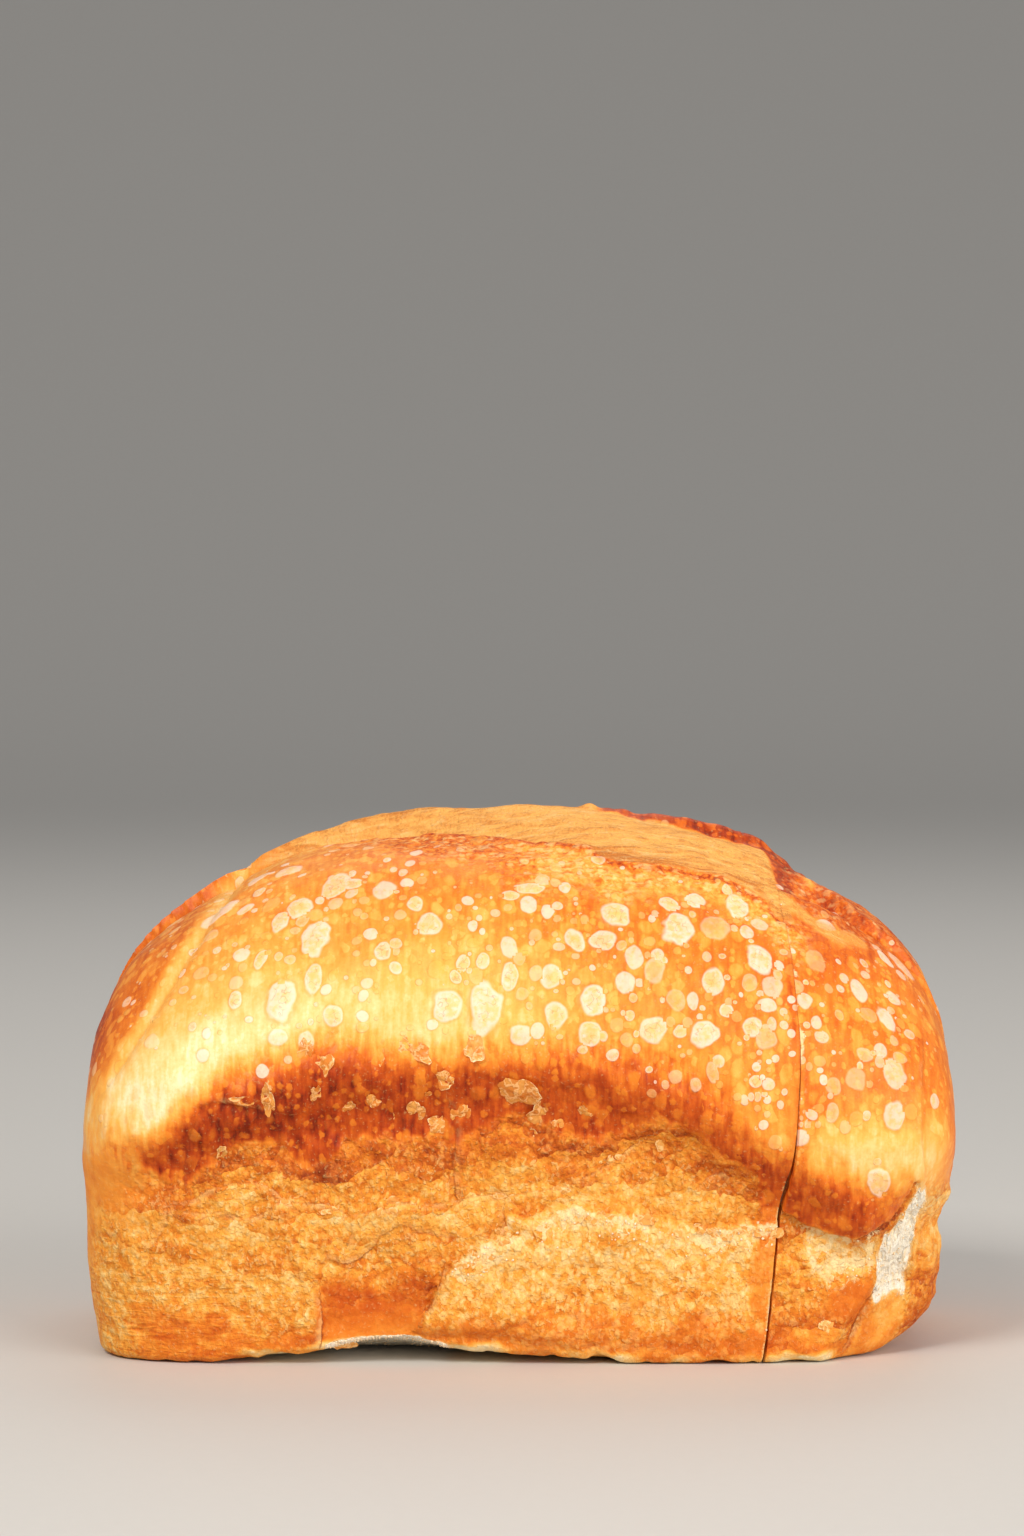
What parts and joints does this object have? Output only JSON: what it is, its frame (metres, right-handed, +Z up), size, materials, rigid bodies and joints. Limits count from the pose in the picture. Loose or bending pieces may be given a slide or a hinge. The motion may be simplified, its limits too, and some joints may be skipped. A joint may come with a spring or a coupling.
{
  "type": "tin loaf of bread",
  "caption": "Tin-baked loaf of white bread with a domed blistered crust, an open score along its top and the heel cut as a thick slice.",
  "frame": {"origin": "centre of the loaf's base, on the surface it stands on", "axes": "+X along the loaf towards the sliced heel, +Z up, and the long side with the arched fold faces -Y"},
  "size_m": [0.196, 0.1124, 0.1205],
  "materials": {
    "crust": "baked bread crust, satin on the shoulder and rough and flaky below the fold",
    "heel_crust": "baked bread crust, satin, with white crumb where it is torn",
    "flake": "thin dry flakes of crust that have lifted",
    "crumb": "open white crumb, matte"
  },
  "bodies": {
    "root": {"loaf": "crust", "heel_slice": "heel_crust"}
  },
  "joints": []
}
